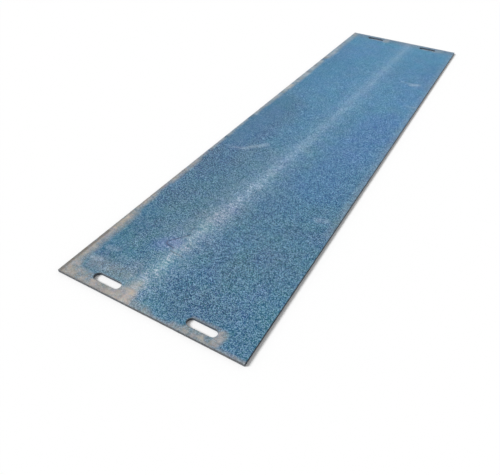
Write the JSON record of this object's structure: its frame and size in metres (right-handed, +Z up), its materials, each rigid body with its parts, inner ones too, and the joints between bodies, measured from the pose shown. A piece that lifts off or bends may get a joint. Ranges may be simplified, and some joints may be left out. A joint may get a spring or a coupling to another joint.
{
  "type": "ground protection mat",
  "caption": "Flat recycled polyethylene ground protection mat with round-ended hand slots near its corners.",
  "frame": {"origin": "middle of the underside", "axes": "+X across the width, +Y along the length, +Z up through the thickness"},
  "size_m": [1, 4, 0.015],
  "materials": {
    "recycled_polyethylene": "matt, pressed, finely grained"
  },
  "bodies": {
    "root": {"mat": "recycled_polyethylene"}
  },
  "joints": []
}
